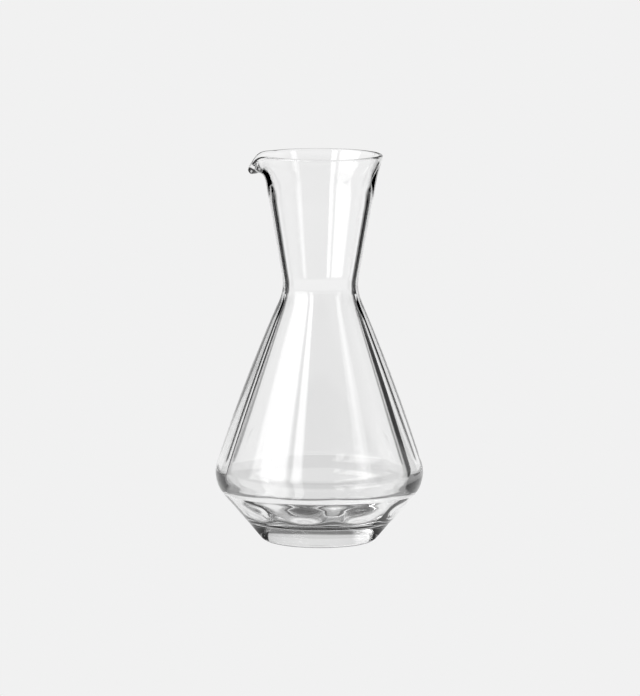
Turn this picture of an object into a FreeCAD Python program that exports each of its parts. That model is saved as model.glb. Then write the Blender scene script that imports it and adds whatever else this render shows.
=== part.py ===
"""A clear glass carafe with a pinched waist, a thick foot and a pulled pouring lip.

The glass is one piece. Its outside is turned. Inside, flat optic panels run down the belly and
end in rounded tips on the shoulder, so the wall is thickest in the middle of each panel. Below
them the thick lower cone runs in one wide curve into the floor. The rim is a small melted bead,
pulled out and down on the -X side into a lip. One panel faces the lip.

Units are millimetres. The origin is on the axis, in the plane that the foot stands on, and Z is up.
"""

import FreeCAD, Part
import math
import os

import Sketcher
from FreeCAD import Vector

NODE = "carafe_glass"
ORIGIN = Vector(0, 0, 0)
UPWARD = Vector(0, 0, 1)
TOWARDS_LIP = FreeCAD.Rotation(Vector(0, 1, 0), 180)  # turns a sketch's side from +X to -X
FULL_TURN = 360
START, END = 1, 2  # the two ends of a sketch's side
HORIZONTAL_AXIS, VERTICAL_AXIS = -1, -2  # a sketch's own axes
TOUCHING = 1e-6
ROUND_PARTS, RISE_PARTS = 72, 8  # how finely the rim's surfaces are divided before they are pulled

# The curves of the melted rim, as shares
CURVE_HANDLE = 1 / 3  # a curve's handles, of the rim zone's height
OUTSIDE_LOW, OUTSIDE_HIGH = 1.6, 0.4  # of that: the outside keeps the neck's line, then turns late
BEND_START = 0.48  # of the wall's middle line, which stays straight at the middle of the lip
EDGE_RUN = 1.1  # of the lip's reach, along which its edge runs straight

# Driving sizes: (alias, value, what it measures)
SIZES = [
    ("overall_height", 250.0, "foot plane to the top of the rim bead"),
    ("foot_ring_radius", 33.0, "outer edge of the flat ring that the foot stands on"),
    ("foot_ring_width", 4.0, "width of that flat ring"),
    ("foot_hollow", 1.2, "height of the shallow hollow under the foot"),
    ("foot_rounding", 5.6, "rounding between the flat ring and the lower cone"),
    ("lower_cone_lean", 40.8, "degrees between the lower cone and the axis"),
    ("shoulder_height", 39.4, "height of the shoulder's sharp corner, before it is rounded"),
    ("shoulder_rounding", 20.0, "rounding of the shoulder outside"),
    ("belly_radius", 1200.0, "radius of the belly side's faint outward swell"),
    ("waist_radius", 23.2, "sharp corner of the waist outside, before it is rounded"),
    ("waist_height", 163.0, "height of the waist"),
    ("waist_rounding", 30.0, "rounding of the waist outside"),
    ("rim_radius", 38.6, "outside of the neck where its straight side would reach the rim"),
    ("floor_thickness", 15.0, "glass under the edge of the floor"),
    ("floor_dome", 0.8, "how far the middle of the floor stands above its edge"),
    ("floor_rounding", 18.0, "rounding between the floor and the lower cone inside"),
    ("cone_wall", 5.3, "glass of the lower cone at the floor's corner, measured level"),
    ("shoulder_wall", 7.0, "glass between the shoulder's sharp corners, measured level"),
    ("shoulder_drop", 1.4, "how far the inner shoulder's corner lies below the outer one"),
    ("inner_shoulder_rounding", 12.0, "rounding of the shoulder inside"),
    ("waist_wall", 3.4, "glass at the waist's sharp corner, measured level"),
    ("inner_waist_rounding", 30.0, "rounding of the waist inside"),
    ("neck_wall", 4.2, "glass at the top of the straight neck, measured level"),
    ("rim_zone", 18.0, "height of the top of the neck, which the melted rim and the lip take up"),
    ("rim_bead", 2.4, "thickness of the melted bead"),
    ("rim_flare", 0.9, "how far the bead stands out from the line of the neck"),
    ("lip_reach", 5.4, "how far the lip's edge is pulled out"),
    ("lip_drop", 9.0, "how far the lip's edge is pulled down"),
    ("lip_rise", 15.0, "degrees by which the lip's edge points up from level"),
    ("lip_half_angle", 40.0, "degrees, half of the arc of the rim that the lip takes up"),
    ("panel_count", 9.0, "flat panels round the inside"),
    ("panel_depth", 2.85, "how far in from the inner shoulder's corner the middle of a panel lies"),
    ("panel_fade", 16.0, "how far below the waist the panels start"),
]

# Places that follow from the driving sizes, in the words that the features' expressions use
NECK_SLOPE = "(Sizes.rim_radius - Sizes.waist_radius) / (Sizes.overall_height - Sizes.waist_height)"
NECK_TOP = "Sizes.overall_height - Sizes.rim_zone"
NECK_TOP_RADIUS = f"Sizes.rim_radius - Sizes.rim_zone * {NECK_SLOPE}"
FOOT_CORNER = "Sizes.foot_ring_radius + Sizes.foot_rounding * tan((90 - Sizes.lower_cone_lean) / 2)"
SHOULDER_RADIUS = f"{FOOT_CORNER} + Sizes.shoulder_height * tan(Sizes.lower_cone_lean)"
HOLLOW_EDGE = "Sizes.foot_ring_radius - Sizes.foot_ring_width"
CONE_AT_FLOOR = f"{FOOT_CORNER} + Sizes.floor_thickness * tan(Sizes.lower_cone_lean)"
FLOOR_RADIUS = f"{CONE_AT_FLOOR} - Sizes.cone_wall"
INNER_SHOULDER_RADIUS = f"{SHOULDER_RADIUS} - Sizes.shoulder_wall"
INNER_SHOULDER_HEIGHT = "Sizes.shoulder_height - Sizes.shoulder_drop"
INNER_WAIST_RADIUS = "Sizes.waist_radius - Sizes.waist_wall"
INNER_NECK_TOP_RADIUS = f"{NECK_TOP_RADIUS} - Sizes.neck_wall"


def fill_sheet(document):
    """The spreadsheet that drives every feature: one named cell for each size."""
    sheet = document.addObject("Spreadsheet::Sheet", "Sizes")
    for row, (alias, value, meaning) in enumerate(SIZES, start=1):
        sheet.set(f"A{row}", meaning)
        sheet.set(f"B{row}", str(value))
        sheet.setAlias(f"B{row}", alias)
    document.recompute()
    return sheet


def new_body(document, name):
    """A PartDesign body whose Label is its name."""
    body = document.addObject("PartDesign::Body", name)
    body.Label = name
    return body


def origin_part(body, role):
    """One plane or axis of the body's own origin."""
    return next(part for part in body.Origin.OriginFeatures if part.Role == role)


def hold_size(sketch, kind, places, expression):
    """Add a sketch dimension that follows an expression."""
    size = float(sketch.evalExpression(expression))
    row = sketch.addConstraint(Sketcher.Constraint(kind, *places, size))
    sketch.setExpression(f"Constraints[{row}]", expression)


def dome_radius(reach, rise):
    """The radius of an arc that is centred on the axis and rises by rise over a run of reach."""
    return f"(({reach}) ^ 2 + ({rise}) ^ 2) / (2 * ({rise}))"


def arc_side(start, end, radius, outward):
    """The short arc from start to end, bulging to the right of that way when outward is 1."""
    chord = end - start
    swell = radius - math.sqrt(radius**2 - (chord.Length / 2) ** 2)
    right = Vector(chord.y, -chord.x, 0).normalize()
    return Part.Arc(start, (start + end) / 2 + right * swell * outward, end)


def first_end(sketch, side, start):
    """Which end of a side lies at start: a sketch stores every arc anticlockwise."""
    gap = sketch.getPoint(side, START) - start
    return START if gap.Length < TOUCHING else END


def outline(body, name, corners, arcs=()):
    """A closed sketch in the XZ plane. Each corner is a radius and a height, as expressions.

    A side is a straight line unless arcs gives its radius expression and which way it bulges:
    1 is to the right of the way round, -1 to the left.
    """
    sketch = body.newObject("Sketcher::SketchObject", name)
    sketch.AttachmentSupport = [(origin_part(body, "XZ_Plane"), "")]
    sketch.MapMode = "FlatFace"
    starts = [
        Vector(float(sketch.evalExpression(radius)), float(sketch.evalExpression(height)), 0)
        for radius, height in corners
    ]
    arcs = dict(arcs)
    begins = []
    for side, start in enumerate(starts):
        end = starts[(side + 1) % len(starts)]
        if side in arcs:
            expression, outward = arcs[side]
            radius = float(sketch.evalExpression(expression))
            sketch.addGeometry(arc_side(start, end, radius, outward))
        else:
            sketch.addGeometry(Part.LineSegment(start, end))
        begins.append(first_end(sketch, side, start))
    for side, begin in enumerate(begins):
        following = (side + 1) % len(begins)
        finish = START + END - begin
        joint = Sketcher.Constraint("Coincident", side, finish, following, begins[following])
        sketch.addConstraint(joint)
    for side, (expression, _) in arcs.items():
        hold_size(sketch, "Radius", (side,), expression)
    for (radius, height), side, begin in zip(corners, range(len(begins)), begins):
        hold_corner(sketch, side, begin, radius, height)
    return sketch


def hold_corner(sketch, side, end, radius, height):
    """Hold a corner at its radius and height. A 0 puts it on the sketch's own axis."""
    for kind, axis, expression in (
        ("DistanceX", VERTICAL_AXIS, radius),
        ("DistanceY", HORIZONTAL_AXIS, height),
    ):
        if expression == "0":
            sketch.addConstraint(Sketcher.Constraint("PointOnObject", side, end, axis))
        else:
            hold_size(sketch, kind, (HORIZONTAL_AXIS, START, side, end), expression)


def turned(body, sketch):
    """Turn a closed outline about the upright axis into a solid."""
    turn = body.newObject("PartDesign::Revolution", sketch.Name + "_turned")
    turn.Profile = sketch
    turn.ReferenceAxis = (sketch, ["V_Axis"])
    turn.Angle = FULL_TURN
    body.Document.recompute()
    return turn


def circle_near(shape, radius, height):
    """The name of the level circular edge whose radius and height are nearest the given ones."""
    misses = []
    for number, edge in enumerate(shape.Edges, start=1):
        if not edge.Degenerated and isinstance(edge.Curve, Part.Circle):
            miss = math.hypot(edge.Curve.Radius - radius, edge.Curve.Center.z - height)
            misses.append((miss, number))
    return f"Edge{min(misses)[1]}"


def rounded(body, base, name, corner, size):
    """Round the circular corner of a turned form. corner and size are expressions."""
    radius, height = (float(base.evalExpression(place)) for place in corner)
    fillet = body.newObject("PartDesign::Fillet", name)
    fillet.Base = (base, [circle_near(base.Shape, radius, height)])
    fillet.setExpression("Radius", size)
    body.Document.recompute()
    return fillet


def outer_form(document):
    """The outside as one filled, turned form, up to the foot of the melted rim."""
    body = new_body(document, "outer_form")
    hollow_edge = (HOLLOW_EDGE, "0")
    foot = (FOOT_CORNER, "0")
    shoulder = (SHOULDER_RADIUS, "Sizes.shoulder_height")
    waist = ("Sizes.waist_radius", "Sizes.waist_height")
    neck_top = (NECK_TOP_RADIUS, NECK_TOP)
    corners = [("0", "Sizes.foot_hollow"), hollow_edge, foot, shoulder, waist, neck_top, ("0", NECK_TOP)]
    hollow = (dome_radius(HOLLOW_EDGE, "Sizes.foot_hollow"), -1)
    belly = ("Sizes.belly_radius", 1)
    sketch = outline(body, "outside", corners, {0: hollow, 3: belly})
    form = turned(body, sketch)
    form = rounded(body, form, "round_foot", foot, "Sizes.foot_rounding")
    form = rounded(body, form, "round_shoulder", shoulder, "Sizes.shoulder_rounding")
    form = rounded(body, form, "round_waist", waist, "Sizes.waist_rounding")
    return body


def inner_form(document):
    """The space inside, turned and then cut flat by the optic panels."""
    body = new_body(document, "inner_form")
    floor = (FLOOR_RADIUS, "Sizes.floor_thickness")
    shoulder = (INNER_SHOULDER_RADIUS, INNER_SHOULDER_HEIGHT)
    waist = (INNER_WAIST_RADIUS, "Sizes.waist_height")
    neck_top = (INNER_NECK_TOP_RADIUS, NECK_TOP)
    middle = ("0", "Sizes.floor_thickness + Sizes.floor_dome")
    corners = [middle, floor, shoulder, waist, neck_top, ("0", NECK_TOP)]
    dome = (dome_radius(FLOOR_RADIUS, "Sizes.floor_dome"), -1)
    sketch = outline(body, "inside", corners, {0: dome})
    form = turned(body, sketch)
    form = rounded(body, form, "round_floor", floor, "Sizes.floor_rounding")
    form = rounded(body, form, "round_inner_shoulder", shoulder, "Sizes.inner_shoulder_rounding")
    form = rounded(body, form, "round_inner_waist", waist, "Sizes.inner_waist_rounding")
    optic_panels(body)
    return body


def optic_panels(body):
    """Cut one flat panel off the space inside, facing the lip, and repeat it round the axis.

    The panel's plane leaves the round form below the waist, lies panel_depth inside it at the
    shoulder, and runs straight on until it leaves the round form again on the lower cone.
    """
    whole = body.Tip.Shape.Volume
    corner = f"({INNER_SHOULDER_RADIUS})"
    corner_height = f"({INNER_SHOULDER_HEIGHT})"
    cone_lean = f"({corner} - ({INNER_WAIST_RADIUS})) / (Sizes.waist_height - {corner_height})"
    top = "(Sizes.waist_height - Sizes.panel_fade)"
    top_radius = f"({INNER_WAIST_RADIUS} + Sizes.panel_fade * {cone_lean})"
    panel_lean = f"({corner} - Sizes.panel_depth - {top_radius}) / ({top} - {corner_height})"
    foot_radius = f"{top_radius} + ({top} - Sizes.floor_thickness) * {panel_lean}"
    beyond = f"{corner} * 2"
    corners = [
        (foot_radius, "Sizes.floor_thickness"),
        (beyond, "Sizes.floor_thickness"),
        (beyond, top),
        (top_radius, top),
    ]
    sketch = outline(body, "panel_side", corners)
    sketch.AttachmentOffset = FreeCAD.Placement(ORIGIN, TOWARDS_LIP)
    cut = body.newObject("PartDesign::Pocket", "panel")
    cut.Profile = sketch
    cut.Type = "ThroughAll"
    cut.Midplane = True
    body.Document.recompute()
    ring = body.newObject("PartDesign::PolarPattern", "panels")
    ring.Originals = [cut]
    ring.Axis = (sketch, ["V_Axis"])
    ring.Angle = FULL_TURN
    ring.setExpression("Occurrences", "Sizes.panel_count")
    body.Tip = ring
    body.Document.recompute()
    if not ring.Shape.Volume < cut.Shape.Volume < whole:
        raise RuntimeError("a panel cuts nothing off the space inside")


def read_sizes(sheet):
    """The driving sizes as numbers, for the melted rim, which is shaped by calculation."""
    return {alias: float(sheet.get(alias)) for alias, _, _ in SIZES}


def curve_through(start, first, last, end):
    """A cubic Bezier curve from start to end, with its two handles."""
    curve = Part.BezierCurve()
    curve.setPoles([start, first, last, end])
    return curve


class MeltedRim:
    """The section of the melted rim, and the pull that makes the lip out of it."""

    def __init__(self, size):
        self.size = size
        bead = size["rim_bead"] / 2
        low = size["overall_height"] - size["rim_zone"]
        high = size["overall_height"] - bead
        neck_rise = size["overall_height"] - size["waist_height"]
        neck_slope = (size["rim_radius"] - size["waist_radius"]) / neck_rise
        outer_low = size["rim_radius"] - size["rim_zone"] * neck_slope
        inner_waist = size["waist_radius"] - size["waist_wall"]
        inner_low = outer_low - size["neck_wall"]
        self.neck_slope = neck_slope
        self.inner_slope = (inner_low - inner_waist) / (low - size["waist_height"])
        self.bead_middle = Vector(size["rim_radius"] + size["rim_flare"] - bead, 0, high)
        self.outer_low = Vector(outer_low, 0, low)
        self.inner_low = Vector(inner_low, 0, low)
        self.low = (self.outer_low + self.inner_low) / 2
        self.line = self.bead_middle - self.low
        self.bend = self.lip_bend()

    def section(self):
        """Three curves: up the outside, over the bead, and down the inside."""
        bead = self.size["rim_bead"] / 2
        outer_high = self.bead_middle + Vector(bead, 0, 0)
        inner_high = self.bead_middle - Vector(bead, 0, 0)
        handle = self.size["rim_zone"] * CURVE_HANDLE
        outer_handle = self.outer_low + Vector(self.neck_slope, 0, 1) * handle * OUTSIDE_LOW
        inner_handle = self.inner_low + Vector(self.inner_slope, 0, 1) * handle
        outer_top_handle = outer_high - UPWARD * handle * OUTSIDE_HIGH
        inner_top_handle = inner_high - UPWARD * handle
        outside = curve_through(self.outer_low, outer_handle, outer_top_handle, outer_high)
        top = Part.Arc(outer_high, self.bead_middle + UPWARD * bead, inner_high)
        inside = curve_through(inner_high, inner_top_handle, inner_handle, self.inner_low)
        return [outside, top, inside]

    def lip_bend(self):
        """The wall's middle line at the middle of the lip: up the neck, then over to its edge."""
        edge = self.bead_middle + Vector(self.size["lip_reach"], 0, -self.size["lip_drop"])
        rise = math.radians(self.size["lip_rise"])
        outward = Vector(math.cos(rise), 0, math.sin(rise))
        first = self.low + self.line * BEND_START
        last = edge - outward * (self.size["lip_reach"] * EDGE_RUN)
        return curve_through(self.low, first, last, edge)

    def bent(self, point):
        """Where a point of the section goes at the middle of the lip.

        It keeps its place along the wall's middle line and its distance from that line.
        """
        along = (point.z - self.low.z) / self.line.z
        reach = min(along, 1.0)
        offset = point.x - (self.low + self.line * along).x
        tangent = self.bend.tangent(reach)[0]
        start = self.bend.tangent(0)[0]
        turn = math.atan2(tangent.x, tangent.z) - math.atan2(start.x, start.z)
        across = Vector(math.cos(turn), 0, -math.sin(turn))
        past_edge = tangent * ((along - reach) * self.line.Length)
        return self.bend.value(reach) + past_edge + across * offset

    def pulled(self, point):
        """The place of a point of the round rim once the lip is pulled.

        Round the rim the bend fades from the lip's middle as the cube of a cosine.
        """
        from_lip = math.degrees(math.atan2(point.y, -point.x))
        if abs(from_lip) >= self.size["lip_half_angle"]:
            return point
        share = math.cos(math.radians(90 * from_lip / self.size["lip_half_angle"])) ** 3
        radius = math.hypot(point.x, point.y)
        round_place = Vector(radius, 0, point.z)
        moved = round_place + (self.bent(round_place) - round_place) * share
        return Vector(point.x * moved.x / radius, point.y * moved.x / radius, moved.z)


def even_knots(first, last, parts):
    """The inner knots that divide a range into equal parts."""
    return [first + (last - first) * number / parts for number in range(1, parts)]


def pulled_surface(curve, rim):
    """Turn a curve about the axis, divide the surface finely, and pull its poles into the lip."""
    surface = curve.toShape().revolve(ORIGIN, UPWARD, FULL_TURN).toNurbs().Faces[0].Surface
    around = surface.getUKnots()
    along = surface.getVKnots()
    surface.insertUKnots(even_knots(around[0], around[-1], ROUND_PARTS), [1] * (ROUND_PARTS - 1), TOUCHING)
    surface.insertVKnots(even_knots(along[0], along[-1], RISE_PARTS), [1] * (RISE_PARTS - 1), TOUCHING)
    for column in range(1, surface.NbUPoles + 1):
        for row in range(1, surface.NbVPoles + 1):
            surface.setPole(column, row, rim.pulled(surface.getPole(column, row)))
    return surface.toShape()


def pulled_rim(document, sheet):
    """The melted rim as one ring, with the lip pulled out of it."""
    melted = MeltedRim(read_sizes(sheet))
    faces = [pulled_surface(curve, melted) for curve in melted.section()]
    rings = [
        Part.Wire(Part.makeCircle(corner.x, Vector(0, 0, corner.z)))
        for corner in (melted.outer_low, melted.inner_low)
    ]
    faces.append(Part.Face(rings))
    shell = Part.makeShell(faces)
    shell.sewShape()
    solid = Part.makeSolid(Part.Shell(shell.Faces))
    rim = document.addObject("Part::Feature", "pulled_rim")
    rim.Label = "pulled_rim"
    rim.Shape = solid
    return rim


def joined(document, kind, name, base, tool):
    """A Part boolean of two objects, named and labelled."""
    result = document.addObject(kind, name)
    result.Label = name
    result.Base = base
    result.Tool = tool
    document.recompute()
    return result


def check(document, node):
    """Stop if any object failed, or if the finished piece isn't one valid solid."""
    for item in document.Objects:
        if "Invalid" in item.State or "Error" in item.State:
            raise RuntimeError(f"{item.Name} didn't recompute: {item.State}")
    shape = node.Shape
    if shape.isNull() or not shape.isValid() or len(shape.Solids) != 1:
        raise RuntimeError(f"{node.Label} isn't one valid solid")


def main():
    document = FreeCAD.newDocument("carafe")
    sheet = fill_sheet(document)
    outside = outer_form(document)
    inside = inner_form(document)
    vessel = joined(document, "Part::Cut", "vessel", outside, inside)
    rim = pulled_rim(document, sheet)
    glass = joined(document, "Part::Fuse", NODE, vessel, rim)
    check(document, glass)
    os.makedirs("parts", exist_ok=True)
    glass.Shape.exportStep(f"parts/{NODE}.step")
    box = glass.Shape.BoundBox
    print(f"{NODE}: {glass.Shape.Volume / 1000:.1f} cm3 of glass")
    print(f"box {box.XLength:.1f} x {box.YLength:.1f} x {box.ZLength:.1f} mm")
    print(f"space inside up to the neck {inside.Shape.Volume / 1000:.0f} cm3")


main()
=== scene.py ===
# %% [markdown]
# # A clear glass carafe
# The frame that is loaded first comes from the construction in CAD. It fixes where everything
# goes and how large it is. Here the carafe gets a surface that is fine enough to bend light
# without showing facets, a glass material, a studio to be seen against, and a camera.

# %% Load the frame
from math import cos, pi, radians, sin, tan

import bpy
import numpy as np
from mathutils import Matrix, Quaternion, Vector


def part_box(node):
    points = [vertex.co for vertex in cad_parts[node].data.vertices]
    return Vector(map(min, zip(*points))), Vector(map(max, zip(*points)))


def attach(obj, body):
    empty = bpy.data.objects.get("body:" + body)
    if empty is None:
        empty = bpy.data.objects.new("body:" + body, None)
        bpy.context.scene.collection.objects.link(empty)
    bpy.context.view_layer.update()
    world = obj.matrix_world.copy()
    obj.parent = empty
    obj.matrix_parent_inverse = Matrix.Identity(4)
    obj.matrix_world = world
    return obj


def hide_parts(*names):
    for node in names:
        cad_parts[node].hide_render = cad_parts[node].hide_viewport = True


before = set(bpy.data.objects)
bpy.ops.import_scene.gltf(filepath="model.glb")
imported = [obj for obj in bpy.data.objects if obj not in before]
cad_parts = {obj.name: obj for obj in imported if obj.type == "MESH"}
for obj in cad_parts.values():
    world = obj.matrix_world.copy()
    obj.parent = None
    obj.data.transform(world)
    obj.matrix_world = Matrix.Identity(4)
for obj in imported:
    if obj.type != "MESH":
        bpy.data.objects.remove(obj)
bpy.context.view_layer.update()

# %% Measure the construction
MM = 1000  # millimetres in a metre, for what is printed

low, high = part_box("carafe_glass")
height = high[2] - low[2]
print(f"the carafe is {height * MM:.0f} mm high")

# %% [markdown]
# ## The corners of the section
# A carafe like this is blown into a mould, so its outside is smooth and round, and one cut
# through the axis, the section, gives nearly the whole form. The section could be a long list of
# points, but then no size could be changed by itself. Here each size is written once, in metres,
# and the corners follow from the sizes by plain geometry.

# %% Corners of the outside
FOOT_RING = 0.033
FOOT_ROUNDING = 0.0056
CONE_LEAN = radians(40.8)
SHOULDER_HEIGHT = 0.0394
WAIST_RADIUS = 0.0232
WAIST_HEIGHT = 0.163
RIM_RADIUS = 0.0386
RIM_ZONE = 0.018

foot_corner = FOOT_RING + FOOT_ROUNDING * tan((pi / 2 - CONE_LEAN) / 2)
shoulder = np.array([foot_corner + SHOULDER_HEIGHT * tan(CONE_LEAN), SHOULDER_HEIGHT])
waist = np.array([WAIST_RADIUS, WAIST_HEIGHT])
neck_slope = (RIM_RADIUS - WAIST_RADIUS) / (height - WAIST_HEIGHT)
neck_top = np.array([RIM_RADIUS - RIM_ZONE * neck_slope, height - RIM_ZONE])
print(f"the shoulder's sharp corner would be {2 * shoulder[0] * MM:.0f} mm across")

# %% Corners of the inside
FLOOR_THICKNESS = 0.015
CONE_WALL = 0.0053
SHOULDER_WALL = 0.007
SHOULDER_DROP = 0.0014
WAIST_WALL = 0.0034
NECK_WALL = 0.0042

floor_edge = foot_corner + FLOOR_THICKNESS * tan(CONE_LEAN) - CONE_WALL
floor_corner = np.array([floor_edge, FLOOR_THICKNESS])
inner_shoulder = shoulder - [SHOULDER_WALL, SHOULDER_DROP]
inner_waist = waist - [WAIST_WALL, 0]
inner_neck_top = neck_top - [NECK_WALL, 0]
print(f"the floor's corner lies {floor_edge * MM:.1f} mm from the axis")

# %% [markdown]
# ## Round corners
# Molten glass has no sharp corners. A Bevel modifier could round them on the finished mesh, but
# here each corner has a radius of its own. So each becomes an arc in the path that touches both
# sides, and starts radius * tan(turn / 2) before the corner. The arcs get a point every few
# degrees, because glass shows each facet as a bent reflection.

# %% Round the corners of a path
TURN_STEP = radians(4)
LINE_STEP = 0.005
FEWEST_POINTS = 3


def corner_arc(before, corner, after, radius):
    """Points on the arc that rounds a corner.

    Its middle lies on the corner's bisector, radius / cos(turn / 2) away.
    """
    back = (before - corner) / np.linalg.norm(before - corner)
    on = (after - corner) / np.linalg.norm(after - corner)
    turn = pi - np.arccos(np.clip(back @ on, -1, 1))
    bisector = (back + on) / np.linalg.norm(back + on)
    middle = corner + bisector * radius / cos(turn / 2)
    reach = radius * tan(turn / 2)
    first_spoke = corner + back * reach - middle
    last_spoke = corner + on * reach - middle
    first = np.arctan2(first_spoke[1], first_spoke[0])
    last = np.arctan2(last_spoke[1], last_spoke[0])
    sweep = (last - first + pi) % (2 * pi) - pi
    count = max(FEWEST_POINTS, int(turn / TURN_STEP) + 2)
    angles = first + sweep * np.linspace(0, 1, count)
    return middle + radius * np.stack([np.cos(angles), np.sin(angles)], axis=1)


def filled(points):
    """The same path with more points on its long sides, at most LINE_STEP apart."""
    pieces = [points[:1]]
    for start, end in zip(points[:-1], points[1:]):
        parts = int(np.ceil(np.linalg.norm(end - start) / LINE_STEP))
        shares = np.arange(1, parts + 1)[:, None] / max(parts, 1)
        pieces.append(start + (end - start) * shares)
    return np.concatenate(pieces)


def rounded(corners, radii):
    """A path through the corners, with every corner but the ends rounded."""
    corners = [np.array(corner, float) for corner in corners]
    pieces = [corners[0][None]]
    for number, radius in enumerate(radii, start=1):
        pieces.append(corner_arc(*corners[number - 1:number + 2], radius))
    pieces.append(corners[-1][None])
    return filled(np.concatenate(pieces))


# %% [markdown]
# ## The outside
# From the ring that it stands on, the outside goes up the lower cone, over the shoulder, up the
# belly to the waist, and out again along the neck. The belly's side isn't quite straight, but
# swells a little. An arc through three points would do that. A formula keeps the corners where
# they are: a shallow arc of radius R over a side of length L stands L^2 / 8R off the straight
# line in the middle, and 4s(1 - s) of that at a share s of the way.

# %% The outside path
FOOT_RING_WIDTH = 0.004
SHOULDER_ROUNDING = 0.020
BELLY_RADIUS = 1.2
WAIST_ROUNDING = 0.030

ring_inside = FOOT_RING - FOOT_RING_WIDTH
outer = rounded(
    [(ring_inside, 0), (foot_corner, 0), shoulder, waist, neck_top],
    [FOOT_ROUNDING, SHOULDER_ROUNDING, WAIST_ROUNDING],
)
side = waist - shoulder
length = np.linalg.norm(side)
share = np.clip((outer - shoulder) @ side / length**2, 0, 1)
swell = length**2 / (8 * BELLY_RADIUS) * 4 * share * (1 - share)
outer = outer + swell[:, None] * np.array([side[1], -side[0]]) / length
print(f"outside: {len(outer)} points, swell {swell.max() * MM:.1f} mm")

# %% [markdown]
# ## The hollow under the foot
# A flat bottom would rock on a table that isn't quite flat, so a carafe stands on a ring round a
# shallow hollow. The hollow is a bowl whose height is 1 - (radius / edge)^2 of its depth.

# %% The hollow's path
FOOT_HOLLOW = 0.0012
HOLLOW_POINTS = 12

hollow_radius = np.linspace(0, ring_inside, HOLLOW_POINTS)[:-1]
hollow_height = FOOT_HOLLOW * (1 - (hollow_radius / ring_inside) ** 2)
hollow = np.stack([hollow_radius, hollow_height], axis=1)
print(f"the hollow is {hollow_height.max() * MM:.1f} mm deep")

# %% [markdown]
# ## The melted rim
# The rim is cut, then melted in a flame until it draws itself into a bead. A half circle set on
# a straight wall would leave a crease in the reflections. So the wall follows two cubic Bezier
# curves, one outside and one inside, that leave the neck along its own slope and meet the bead
# upright. The inside starts lower down than the outside, because the wall thins slowly.

# %% The Bezier curve
def cubic(t, start, first, last, end):
    """(1-t)^3 start + 3t(1-t)^2 first + 3t^2(1-t) last + t^3 end, for t from 0 to 1."""
    ends = (1 - t) ** 3 * start + t**3 * end
    return ends + 3 * t * (1 - t) ** 2 * first + 3 * t**2 * (1 - t) * last


def steps(count):
    """Numbers from 0 to 1 in a column, to stand for t."""
    return np.linspace(0, 1, count)[:, None]


# %% The rim's ends
RIM_BEAD = 0.0024
RIM_FLARE = 0.0009
THIN_START = 0.030

bead = RIM_BEAD / 2
bead_middle = np.array([RIM_RADIUS + RIM_FLARE - bead, height - bead])
outer_high = bead_middle + [bead, 0]
inner_high = bead_middle - [bead, 0]
inner_slope = (inner_neck_top[0] - inner_waist[0]) / (inner_neck_top[1] - WAIST_HEIGHT)
thin_start = inner_neck_top + np.array([inner_slope, 1]) * (RIM_ZONE - THIN_START)
print(f"the wall thins from {(height - thin_start[1]) * MM:.0f} mm below the top of the rim")

# %% The rim path
OUTSIDE_LEAVE = 1.6
OUTSIDE_ARRIVE = 0.4
INSIDE_LEAVE = 0.45
INSIDE_ARRIVE = 0.7
OUTSIDE_POINTS = 22
INSIDE_POINTS = 30
BEAD_POINTS = 13

handle = RIM_ZONE / 3
outer_leave = neck_top + np.array([neck_slope, 1]) * handle * OUTSIDE_LEAVE
outer_arrive = outer_high - [0, handle * OUTSIDE_ARRIVE]
inner_arrive = inner_high - [0, handle * INSIDE_ARRIVE]
inner_leave = thin_start + np.array([inner_slope, 1]) * THIN_START * INSIDE_LEAVE
rim_outside = cubic(steps(OUTSIDE_POINTS), neck_top, outer_leave, outer_arrive, outer_high)
rim_inside = cubic(steps(INSIDE_POINTS), inner_high, inner_arrive, inner_leave, thin_start)
half_turn = np.linspace(0, pi, BEAD_POINTS)[1:-1]
rim_top = bead_middle + bead * np.stack([np.cos(half_turn), np.sin(half_turn)], axis=1)
print(f"rim: {len(rim_outside) + len(rim_top) + len(rim_inside)} points")

# %% [markdown]
# ## The inside
# The space inside runs down the neck and the belly, round the inner shoulder, and in one wide
# curve into the floor. Copying the outside at one distance would give an even wall, but blown
# glass gathers at the foot, so the inside has corners of its own. The floor rises a little in
# the middle, as 1 - (radius / edge)^2.

# %% The inside path
INNER_SHOULDER_ROUNDING = 0.012
FLOOR_ROUNDING = 0.018
FLAT_FLOOR = 0.030
FLOOR_DOME = 0.0008
FLOOR_POINTS = 12

inner = rounded(
    [thin_start, inner_waist, inner_shoulder, floor_corner, (FLAT_FLOOR, FLOOR_THICKNESS)],
    [WAIST_ROUNDING, INNER_SHOULDER_ROUNDING, FLOOR_ROUNDING],
)
middle_radius = np.linspace(FLAT_FLOOR, 0, FLOOR_POINTS)[1:]
middle = np.stack([middle_radius, np.full(len(middle_radius), FLOOR_THICKNESS)], axis=1)
inner = np.concatenate([inner[1:], middle])
near_floor = inner[:, 1] < FLOOR_THICKNESS + FLOOR_ROUNDING / 2
inner[:, 1] += FLOOR_DOME * np.clip(1 - (inner[:, 0] / floor_edge) ** 2, 0, 1) * near_floor
print(f"inside: {len(inner)} points")

# %% [markdown]
# ## Turning the section
# The section is turned about the upright axis. A Screw modifier would do that too. A grid of
# numbers is chosen instead, with one row for each point of the section and one column for each
# step round, because everything that isn't round can then be done to the whole grid at once.

# %% The grid
STEPS_ROUND = 320

section = np.concatenate([hollow, outer, rim_outside[1:], rim_top, rim_inside, inner])
inside = np.arange(len(section)) >= len(section) - len(inner)
azimuth = np.arange(STEPS_ROUND) * 2 * pi / STEPS_ROUND
radius = np.repeat(section[:, :1], STEPS_ROUND, axis=1)
level = np.repeat(section[:, 1:], STEPS_ROUND, axis=1)
print(f"grid: {len(section)} rows and {STEPS_ROUND} columns")

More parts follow.
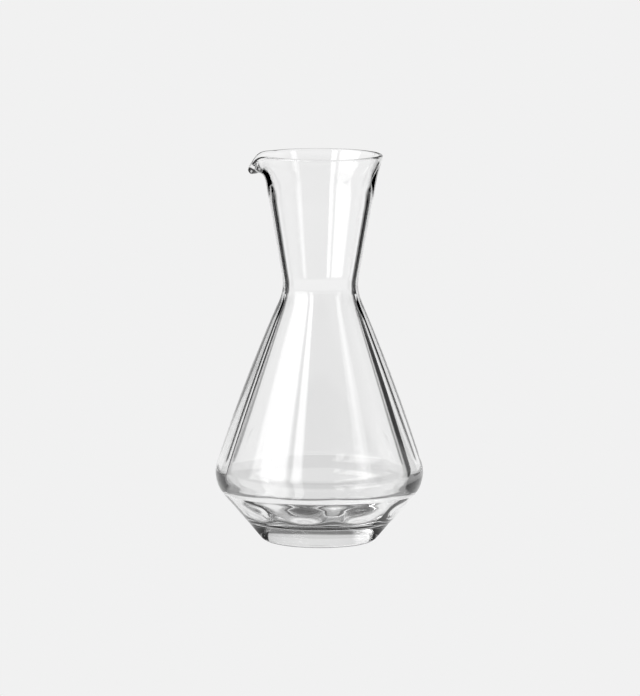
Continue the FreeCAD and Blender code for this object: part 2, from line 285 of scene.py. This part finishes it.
# %% [markdown]
# ## The optic panels
# The mould presses nine panels into the belly, and they show only on the inside. A flat panel's
# distance from the axis is its depth / cos(angle from its middle). Hot glass draws panels nearly
# round again, so the cosine is raised to a small power: 1 would keep a panel flat and 0 would
# make it round. Cutting the panels with a Boolean would leave hard edges. Here the glass lies
# wherever the round form or the panel is nearer to the axis, and a softened minimum,
# min(a, b) - k log(1 + e^(-|a - b| / k)), melts the edge between them.

# %% Where the panels lie
PANELS = 9
PANEL_DEPTH = 0.00285
PANEL_FADE = 0.016
PANEL_FLATNESS = 0.1

inner_lean = (inner_shoulder[0] - inner_waist[0]) / (WAIST_HEIGHT - inner_shoulder[1])
panel_top = WAIST_HEIGHT - PANEL_FADE
panel_top_radius = inner_waist[0] + PANEL_FADE * inner_lean
panel_fall = panel_top - inner_shoulder[1]
panel_lean = (inner_shoulder[0] - PANEL_DEPTH - panel_top_radius) / panel_fall

half_panel = pi / PANELS
from_panel = (azimuth - pi + half_panel) % (2 * pi / PANELS) - half_panel
panel = panel_top_radius + panel_lean * (panel_top - level)
panel = panel / np.cos(from_panel) ** PANEL_FLATNESS
print(f"{PANELS} panels, one of them facing the lip")

# %% Press the panels
RIDGE = 0.001
LEAST_SOFT = 0.01
PANEL_START = 0.011

soft = RIDGE * np.clip((WAIST_HEIGHT - level) / PANEL_FADE, LEAST_SOFT, 1)
melted = np.minimum(radius, panel) - soft * np.log1p(np.exp(-np.abs(radius - panel) / soft))
panel_zone = (level < WAIST_HEIGHT) & (level > FLOOR_THICKNESS + PANEL_START)
radius = np.where(inside[:, None] & panel_zone, melted, radius)
print(f"the panels thicken the wall by up to {(section[:, :1] - radius).max() * MM:.1f} mm")

# %% [markdown]
# ## The swellings above the floor
# Under each panel the thick glass above the floor swells inwards. These swellings make the busy
# band of bright and dark above the foot. They could be a bump in the material, but a bump only
# tilts the surface and leaves the thickness as it is, so they are real forms. Each is a squared
# sine upwards times a squared cosine round.

# %% Swell the glass above the floor
SCALLOP = 0.0028
SCALLOP_START = 0.001
SCALLOP_RISE = 0.017

low_share = np.clip((level - FLOOR_THICKNESS - SCALLOP_START) / SCALLOP_RISE, 0, 1)
scallop = SCALLOP * np.sin(pi * low_share) ** 2 * np.cos(from_panel * PANELS / 2) ** 2
radius = radius - scallop * inside[:, None]
print(f"each swelling is up to {scallop.max() * MM:.1f} mm thick")

# %% [markdown]
# ## The lip
# The glassmaker pulls the soft rim out and down with a tool. Moving the points by a plain fade
# would thin the wall where it turns. Instead, each point keeps its place along the wall's middle
# line and its distance from it, while that line bends over as a Bezier curve. Only towards the
# edge does the glass gather in a thicker bead.
#
# Round the rim the pull fades as a cosine to a power. The pull outwards has a low power and
# fades slowly, and the pull down has a high one and fades fast, which makes a wide fan with a
# narrow spout in its middle.

# %% Bend the wall's middle line
LIP_REACH = 0.0054
LIP_DROP = 0.009
LIP_RISE = radians(15)
BEND_START = 0.48
BEND_REACH = 1.1


def cubic_way(t, start, first, last, end):
    """The way a cubic goes: (1-t)^2 (first-start) + 2t(1-t) (last-first) + t^2 (end-last)."""
    leaving = (1 - t) ** 2 * (first - start) + 2 * t * (1 - t) * (last - first)
    return leaving + t**2 * (end - last)


lip_edge = bead_middle + [LIP_REACH, -LIP_DROP]
wall_foot = (neck_top + inner_neck_top) / 2
line = bead_middle - wall_foot
outward = np.array([cos(LIP_RISE), sin(LIP_RISE)])
lip_arrive = lip_edge - outward * LIP_REACH * BEND_REACH
bend = [wall_foot, wall_foot + line * BEND_START, lip_arrive, lip_edge]

along = (level - wall_foot[1]) / line[1]
t = np.clip(along, 0, 1)[..., None]
place = cubic(t, *bend)
way = cubic_way(t, *bend)
way = way / np.linalg.norm(way, axis=-1, keepdims=True)
print(f"the middle line is {np.linalg.norm(line) * MM:.0f} mm long before it bends")

# %% Pull the lip
LIP_HALF = radians(40)
LIP_SWELL = 1.6
SWELL_START = 0.6
PULL_OUT = 1.3
PULL_DOWN = 6.0

off_line = radius - (wall_foot[0] + line[0] * along)
turned = np.arctan2(way[..., 0], way[..., 1]) - np.arctan2(line[0], line[1])
across = np.stack([np.cos(turned), -np.sin(turned)], axis=-1)
past = ((along - t[..., 0]) * np.linalg.norm(line))[..., None]

from_lip = azimuth - pi
nearness = np.cos(np.clip(from_lip / LIP_HALF, -1, 1) * pi / 2) * (along > 0)
edge_share = np.clip((along - SWELL_START) / (1 - SWELL_START), 0, 1)
thicker = 1 + LIP_SWELL * nearness**PULL_DOWN * edge_share**2
bent = place + way * past * thicker[..., None] + across * (off_line * thicker)[..., None]
radius = radius + (bent[..., 0] - radius) * nearness**PULL_OUT
level = level + (bent[..., 1] - level) * nearness**PULL_DOWN
print(f"the lip reaches {radius[level > neck_top[1]].max() * MM:.1f} mm from the axis")

# %% [markdown]
# ## The mesh
# The first and last rows of the grid lie on the axis, so each becomes a single point with a fan
# of triangles round it. Between them every four neighbours make a face, and the last column
# joins the first. The faces are wound so that they all look out of the glass, which is how the
# renderer tells glass from air.

# %% The points
x = radius * np.cos(azimuth)
y = radius * np.sin(azimuth)
body_rows = np.stack([x, y, level], axis=-1)[1:-1]
poles = [[0, 0, section[0, 1]], [0, 0, section[-1, 1]]]
points = np.concatenate([body_rows.reshape(-1, 3), poles])
print(f"{len(points)} points")

# %% The faces
ring = np.arange(STEPS_ROUND)
beside = (ring + 1) % STEPS_ROUND
row_start = np.arange(len(body_rows) - 1)[:, None] * STEPS_ROUND
next_start = row_start + STEPS_ROUND
around_quad = [row_start + ring, row_start + beside, next_start + beside, next_start + ring]
quads = np.stack(around_quad, axis=-1).reshape(-1, 4)

under_pole, floor_pole = len(points) - 2, len(points) - 1
last_row = (len(body_rows) - 1) * STEPS_ROUND
under_fan = np.stack([np.full(STEPS_ROUND, under_pole), beside, ring], axis=1)
floor_fan = [np.full(STEPS_ROUND, floor_pole), last_row + ring, last_row + beside]
floor_fan = np.stack(floor_fan, axis=1)
print(f"{2 * len(quads) + len(under_fan) + len(floor_fan)} triangles")

# %% Build the carafe
mesh = bpy.data.meshes.new("glass_carafe")
faces = quads.tolist() + under_fan.tolist() + floor_fan.tolist()
mesh.from_pydata(points.tolist(), [], faces)
mesh.polygons.foreach_set("use_smooth", np.ones(len(mesh.polygons), dtype=bool))
carafe = bpy.data.objects.new("glass_carafe", mesh)
bpy.context.scene.collection.objects.link(carafe)
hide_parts("carafe_glass")
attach(carafe, "root")
print(f"the carafe measures {[round(size * MM, 1) for size in carafe.dimensions]} mm")

# %% [markdown]
# ## Small helpers for nodes
# A node tree is quicker to read when each calculation is one line. A helper makes a Math node
# and fills its inputs with numbers or with the outputs of other nodes.

# %% Node helpers
def fill(tree, socket, value):
    """Put a number in a socket, or link another node's output to it."""
    if isinstance(value, (int, float, tuple)):
        socket.default_value = value
    else:
        tree.links.new(value, socket)


def calc(tree, operation, first, second=0.0):
    """The result of one Math node."""
    node = tree.nodes.new("ShaderNodeMath")
    node.operation = operation
    fill(tree, node.inputs[0], first)
    fill(tree, node.inputs[1], second)
    return node.outputs["Value"]


def ramp(tree, value, start, end):
    """A smooth step: 0 at start and before, 1 at end and beyond. It falls if end is less."""
    node = tree.nodes.new("ShaderNodeMapRange")
    node.interpolation_type = "SMOOTHSTEP"
    fill(tree, node.inputs["Value"], value)
    fill(tree, node.inputs["From Min"], start)
    fill(tree, node.inputs["From Max"], end)
    return node.outputs["Result"]


# %% [markdown]
# ## The glass
# Clear glass is nearly all shape: light bends at the surface (IOR 1.5) and next to nothing is
# absorbed. Blown glass isn't perfect, though. Its surface rolls gently, by about a tenth of a
# millimetre over a few centimetres, and that sets the reflections swimming a little. Rolls that
# low could be in the mesh, but a bump in the material is easier to tune. A node group makes it
# from the object's own coordinates, stretched upwards, as glass is drawn when it is blown.

# %% The waviness of blown glass
WAVE_SCALE = 28.0
WAVE_HEIGHT = 0.00012
WAVE_STRETCH = 0.45
WAVE_DETAIL = 0.5

waves = bpy.data.node_groups.new("blown_waves", "ShaderNodeTree")
waves.interface.new_socket("Normal", in_out="OUTPUT", socket_type="NodeSocketVector")
on_glass = waves.nodes.new("ShaderNodeTexCoord")
stretch = waves.nodes.new("ShaderNodeMapping")
stretch.inputs["Scale"].default_value = (1, 1, WAVE_STRETCH)
waves.links.new(on_glass.outputs["Object"], stretch.inputs["Vector"])
roll = waves.nodes.new("ShaderNodeTexNoise")
roll.inputs["Scale"].default_value = WAVE_SCALE
roll.inputs["Detail"].default_value = WAVE_DETAIL
waves.links.new(stretch.outputs["Vector"], roll.inputs["Vector"])
bump = waves.nodes.new("ShaderNodeBump")
bump.inputs["Distance"].default_value = WAVE_HEIGHT
waves.links.new(roll.outputs["Fac"], bump.inputs["Height"])
waves_out = waves.nodes.new("NodeGroupOutput")
waves.links.new(bump.outputs["Normal"], waves_out.inputs["Normal"])
print(f"one wave is about {MM / WAVE_SCALE:.0f} mm wide")

# %% The glass material
IOR = 1.5

glass = bpy.data.materials.new("clear_glass")
glass.use_nodes = True
shader = glass.node_tree.nodes["Principled BSDF"]
shader.inputs["Base Color"].default_value = (1, 1, 1, 1)
shader.inputs["Roughness"].default_value = 0.0
shader.inputs["IOR"].default_value = IOR
shader.inputs["Transmission Weight"].default_value = 1.0
rolling = glass.node_tree.nodes.new("ShaderNodeGroup")
rolling.node_tree = waves
glass.node_tree.links.new(rolling.outputs["Normal"], shader.inputs["Normal"])
mesh.materials.append(glass)
print(f"the carafe wears {mesh.materials[0].name}")

# %% [markdown]
# ## What the glass looks at
# Glass has no colour of its own, so its dark lines are pictures of dark things beside it. In a
# studio it stands before a bright back with black cards on either side. Where the wall is steep
# to the eye, it bends the view sideways onto a card, and a thin dark line draws the edge. Two
# pairs of cards do that here. The low, wide pair draws the neck's lines and the thin double
# lines of the belly, and the high, narrow pair draws the belly's main line. A large softbox and
# a narrow one light the glass from the left, a small one from the right, and the room in front
# is dim.
#
# Cards and lamps could be objects, but then they would have to be hidden from the camera. One
# node group holds the whole surround instead: it takes a direction and gives the light that
# comes from it. Azimuth is measured from the back, positive to the right, and elevation from
# level.

# %% Directions in the surround
surround = bpy.data.node_groups.new("studio_surround", "ShaderNodeTree")
surround.interface.new_socket("Direction", in_out="INPUT", socket_type="NodeSocketVector")
surround.interface.new_socket("Light", in_out="OUTPUT", socket_type="NodeSocketFloat")
surround_in = surround.nodes.new("NodeGroupInput")
surround_out = surround.nodes.new("NodeGroupOutput")
axes = surround.nodes.new("ShaderNodeSeparateXYZ")
surround.links.new(surround_in.outputs["Direction"], axes.inputs["Vector"])
around = calc(surround, "ARCTAN2", axes.outputs["X"], axes.outputs["Y"])
x_squared = calc(surround, "MULTIPLY", axes.outputs["X"], axes.outputs["X"])
y_squared = calc(surround, "MULTIPLY", axes.outputs["Y"], axes.outputs["Y"])
run = calc(surround, "SQRT", calc(surround, "ADD", x_squared, y_squared))
rise = calc(surround, "ARCTAN2", axes.outputs["Z"], run)
print(f"{len(surround.nodes)} nodes turn a direction into two angles")


# %% Areas of the surround
def between(value, start, end, edge):
    """1 from start to end, fading to 0 over an edge on either side."""
    up = ramp(surround, value, start - edge, start + edge)
    down = ramp(surround, value, end + edge, end - edge)
    return calc(surround, "MULTIPLY", up, down)


def patch(area, edge):
    """1 on an area (left, right, bottom, top) in degrees, fading to 0 at its edge."""
    left, right, bottom, top = (radians(angle) for angle in area)
    sideways = between(around, left, right, radians(edge))
    return calc(surround, "MULTIPLY", sideways, between(rise, bottom, top, radians(edge)))


def mirrored(area):
    """The same area on the other side of the back."""
    left, right, bottom, top = area
    return -right, -left, bottom, top


def toned(light, share, tone):
    """light + (tone - light) * share: the light, replaced by a tone where the share is 1."""
    change = calc(surround, "SUBTRACT", tone, light)
    return calc(surround, "ADD", light, calc(surround, "MULTIPLY", change, share))


# %% The room and the back
ROOM_TONE = 0.05
SIDE_TONE = 0.70
SIDE_HALF = 100
SIDE_EDGE = 12
BACKGROUND = 0.88
BACK_EDGE = 1
LOW_BACK, LOW_TONE = (-40, 40, -9, 9), 1.0
PLAIN_BACK = (-40, 40, 9, 13)
HIGH_BACK, HIGH_TONE = (-40, 40, 13, 100), 0.28
FLOOR_FADE = -4

side_share = between(around, radians(-SIDE_HALF), radians(SIDE_HALF), radians(SIDE_EDGE))
light = toned(ROOM_TONE, side_share, SIDE_TONE)
for area, tone in ((LOW_BACK, LOW_TONE), (PLAIN_BACK, BACKGROUND), (HIGH_BACK, HIGH_TONE)):
    light = toned(light, patch(area, BACK_EDGE), tone)
light = toned(light, ramp(surround, rise, 0.0, radians(FLOOR_FADE)), BACKGROUND)
print(f"the room's tone is {ROOM_TONE}, the sides' {SIDE_TONE} and the floor's {BACKGROUND}")

# %% The cards and the softboxes
LOW_CARD = (26, 56, -14, -4)
HIGH_CARD = (40, 54, -4, 18)
CARD_EDGE = 1.2
CARD_TONE = 0.0
SOFTBOXES = {  # area and soft edge in degrees, then the light
    "large, at the left": ((-140, -96, 2, 48), 4, 5.0),
    "narrow, at the left": ((-158, -147, 2, 48), 1, 4.0),
    "small, at the right": ((116, 128, 2, 40), 2, 2.5),
}

for card in (LOW_CARD, HIGH_CARD):
    for area in (mirrored(card), card):
        light = toned(light, patch(area, CARD_EDGE), CARD_TONE)
for name, (area, edge, tone) in SOFTBOXES.items():
    light = toned(light, patch(area, edge), tone)
    print(f"softbox: {name}, {area[1] - area[0]} degrees wide, light {tone}")
surround.links.new(light, surround_out.inputs["Light"])

# %% [markdown]
# ## The floor
# The camera sees a plain pale floor, and the glass sees the surround: the Light Path node tells
# which kind of ray is asking. A plain white floor under lamps would change its tone with every
# lamp, and the low cards would have nowhere to stand. For the glass, a point of the floor counts
# as the direction from a point inside the carafe to it. Under and close to the foot the floor is
# darker to the glass, as it would be in the carafe's own shade. The camera sees no shadow there.

# %% The floor's mesh
FLOOR_HALF = 8.0
FLOOR_GAP = 0.0002

floor_mesh = bpy.data.meshes.new("floor")
unit_corners = [(-1, -1), (1, -1), (1, 1), (-1, 1)]
floor_points = [(a * FLOOR_HALF, b * FLOOR_HALF, 0) for a, b in unit_corners]
floor_mesh.from_pydata(floor_points, [], [(0, 1, 2, 3)])
floor = bpy.data.objects.new("floor", floor_mesh)
floor.location.z = -FLOOR_GAP
bpy.context.scene.collection.objects.link(floor)
print(f"the floor is {2 * FLOOR_HALF:.0f} m wide")


# %% What the camera sees
def plain_to_camera(tree, light, rays):
    """light + (BACKGROUND - light) * Is Camera Ray: one tone for the camera alone."""
    change = calc(tree, "SUBTRACT", BACKGROUND, light)
    by_eye = calc(tree, "MULTIPLY", change, rays.outputs["Is Camera Ray"])
    return calc(tree, "ADD", light, by_eye)


# %% The light that the floor gives the glass
EYE_OF_GLASS = 0.12
UNDER_FOOT = 0.035
BESIDE_FOOT = 0.065
SHADE_TONE = 0.05

pale_floor = bpy.data.materials.new("pale_floor")
pale_floor.use_nodes = True
tree = pale_floor.node_tree
tree.nodes.clear()
floor_place = tree.nodes.new("ShaderNodeTexCoord")
from_middle = tree.nodes.new("ShaderNodeVectorMath")
from_middle.operation = "SUBTRACT"
from_middle.inputs[1].default_value = (0, 0, EYE_OF_GLASS)
tree.links.new(floor_place.outputs["Object"], from_middle.inputs[0])
seen = tree.nodes.new("ShaderNodeGroup")
seen.node_tree = surround
tree.links.new(from_middle.outputs["Vector"], seen.inputs["Direction"])

distance = tree.nodes.new("ShaderNodeVectorMath")
distance.operation = "LENGTH"
tree.links.new(floor_place.outputs["Object"], distance.inputs[0])
lit = ramp(tree, distance.outputs["Value"], UNDER_FOOT, BESIDE_FOOT)
shaded = calc(tree, "ADD", calc(tree, "MULTIPLY", lit, 1 - SHADE_TONE), SHADE_TONE)
by_glass = calc(tree, "MULTIPLY", seen.outputs["Light"], shaded)
print(f"the shade ends {BESIDE_FOOT * MM:.0f} mm from the axis")

# %% The floor's material
rays = tree.nodes.new("ShaderNodeLightPath")
glow = tree.nodes.new("ShaderNodeEmission")
tree.links.new(plain_to_camera(tree, by_glass, rays), glow.inputs["Strength"])
paint = tree.nodes.new("ShaderNodeBsdfDiffuse")
paint.inputs["Color"].default_value = (BACKGROUND, BACKGROUND, BACKGROUND, 1)
through = calc(tree, "MAXIMUM", rays.outputs["Is Transmission Ray"], rays.outputs["Is Glossy Ray"])
share_glow = calc(tree, "MAXIMUM", through, rays.outputs["Is Camera Ray"])
blend = tree.nodes.new("ShaderNodeMixShader")
tree.links.new(share_glow, blend.inputs["Fac"])
tree.links.new(paint.outputs["BSDF"], blend.inputs[1])
tree.links.new(glow.outputs["Emission"], blend.inputs[2])
floor_out = tree.nodes.new("ShaderNodeOutputMaterial")
tree.links.new(blend.outputs["Shader"], floor_out.inputs["Surface"])
floor_mesh.materials.append(pale_floor)
print(f"the floor wears {floor_mesh.materials[0].name}")

# %% [markdown]
# ## The backdrop
# The world gives the glass the same surround from every other side, and gives the camera one
# plain tone. A wall could stand behind the carafe, but the world has no edges and needs no
# place. A Background node multiplies its strength by its colour. That colour is a grey of 0.8
# here, so the backdrop comes out a fifth darker than the floor. It comes into view only when the
# camera is low enough to look past the floor's far edge.

# %% The backdrop, as the world
BACKDROP_GREY = 0.8

studio = bpy.data.worlds.new("studio")
bpy.context.scene.world = studio
studio.use_nodes = True
tree = studio.node_tree
tree.nodes.clear()
direction = tree.nodes.new("ShaderNodeTexCoord")
seen = tree.nodes.new("ShaderNodeGroup")
seen.node_tree = surround
tree.links.new(direction.outputs["Generated"], seen.inputs["Direction"])
rays = tree.nodes.new("ShaderNodeLightPath")
sky = tree.nodes.new("ShaderNodeBackground")
sky.inputs["Color"].default_value = (BACKDROP_GREY, BACKDROP_GREY, BACKDROP_GREY, 1)
tree.links.new(plain_to_camera(tree, seen.outputs["Light"], rays), sky.inputs["Strength"])
sky_out = tree.nodes.new("ShaderNodeOutputWorld")
tree.links.new(sky.outputs["Background"], sky_out.inputs["Surface"])
print(f"the backdrop's tone to the camera is {BACKGROUND * BACKDROP_GREY:.2f}")

# %% [markdown]
# ## The camera
# A long lens from a few metres away keeps the carafe's sides nearly parallel, where a short one
# would widen the belly. The camera stands above the rim and looks down a few degrees, so that
# the rim and the foot show as narrow ovals. A small roll tilts the picture by a third of a
# degree.

# %% The camera
DISTANCE = 3.5
ABOVE_RIM = radians(5.65)
LOOK_AT = Vector((0, 0, 0.1247))
VIEW_WIDTH = 0.4437
ROLL = radians(0.34)
SENSOR_WIDTH = 36

camera_data = bpy.data.cameras.new("camera")
camera_data.sensor_width = SENSOR_WIDTH
camera_data.lens = camera_data.sensor_width * DISTANCE / VIEW_WIDTH
camera = bpy.data.objects.new("camera", camera_data)
camera.location = (0, -DISTANCE, height + DISTANCE * tan(ABOVE_RIM))
aim = (LOOK_AT - camera.location).to_track_quat("-Z", "Y")
camera.rotation_euler = (aim @ Quaternion((0, 0, 1), ROLL)).to_euler()
bpy.context.scene.collection.objects.link(camera)
bpy.context.scene.camera = camera
bpy.context.scene.view_settings.view_transform = "Standard"
print(f"the lens is {camera_data.lens:.0f} mm long")
